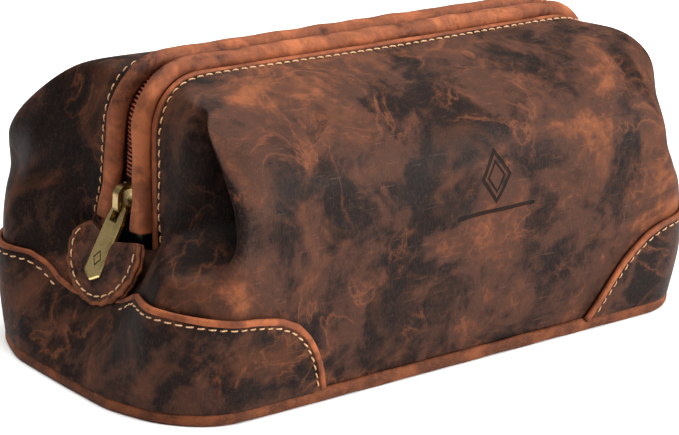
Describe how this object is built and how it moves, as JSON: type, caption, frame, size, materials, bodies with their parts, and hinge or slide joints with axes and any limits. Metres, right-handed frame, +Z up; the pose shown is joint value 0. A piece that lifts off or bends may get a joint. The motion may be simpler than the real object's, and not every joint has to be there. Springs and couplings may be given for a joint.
{
  "type": "framed shaving kit bag",
  "caption": "Soft leather shaving kit bag on a stiff base, with a wide zip mouth held in shape by hinged wire frames.",
  "frame": {"origin": "middle of the base, on the surface the bag stands on", "axes": "+X along the bag's length, away from the parked zip slider; -Y out of the front face; +Z up"},
  "size_m": [0.254, 0.1262, 0.1107],
  "materials": {
    "body_leather": "waxy pull-up leather, mottled",
    "base_leather": "waxy",
    "edge_leather": "worn lighter edge",
    "bead_leather": "waxy, creased",
    "tab_leather": "waxy, raw edge",
    "base_board": "stiff fibre board",
    "lining": "woven nylon",
    "zip_brown": "woven tape",
    "zip_coil": "nylon coil",
    "antique_brass": "antiqued",
    "pull_metal": "brushed, antiqued",
    "frame_steel": "plain wire"
  },
  "bodies": {
    "bag": {"back_panel_lower": "body_leather", "base_board": "base_board", "base_panel": "base_leather", "base_piping": "edge_leather", "body_lining": "lining", "front_panel_lower": "body_leather", "left_end_edging": "edge_leather", "left_end_panel": "body_leather", "left_hinge_bracket": "frame_steel", "left_zip_stop": "antique_brass", "left_zip_tab": "tab_leather", "left_zip_tab_backing": "tab_leather", "right_end_edging": "edge_leather", "right_end_panel": "body_leather", "right_hinge_bracket": "frame_steel", "right_zip_stop": "antique_brass", "right_zip_tab": "tab_leather", "right_zip_tab_backing": "tab_leather"},
    "front_frame": {"front_bead": "bead_leather", "front_frame_wire": "frame_steel", "front_lining_upper": "lining", "front_panel_upper": "body_leather", "front_welt": "edge_leather", "front_zip_coil": "zip_coil", "front_zip_tape": "zip_brown"},
    "back_frame": {"back_bead": "bead_leather", "back_frame_wire": "frame_steel", "back_lining_upper": "lining", "back_panel_upper": "body_leather", "back_welt": "edge_leather", "back_zip_coil": "zip_coil", "back_zip_tape": "zip_brown"},
    "zip_slider": {"slider_body": "antique_brass", "slider_crown": "antique_brass"},
    "zip_pull": {"pull_tab": "pull_metal"}
  },
  "joints": [
    {"name": "front_frame_hinge", "type": "hinge", "parent": "bag", "child": "front_frame", "pos_m": [0, 0, 0.05], "axis": [1, 0, 0], "range_deg": [0, 55]},
    {"name": "back_frame_hinge", "type": "hinge", "parent": "bag", "child": "back_frame", "pos_m": [0, 0, 0.05], "axis": [-1, 0, 0], "range_deg": [0, 55]},
    {"name": "slider_slide", "type": "slide", "parent": "bag", "child": "zip_slider", "axis": [0, 0, 1], "range_m": [0, 0.019]},
    {"name": "pull_hinge", "type": "hinge", "parent": "zip_slider", "child": "zip_pull", "pos_m": [-0.1047, 0, 0.0598], "axis": [0, 1, 0], "range_deg": [0, 95]}
  ]
}
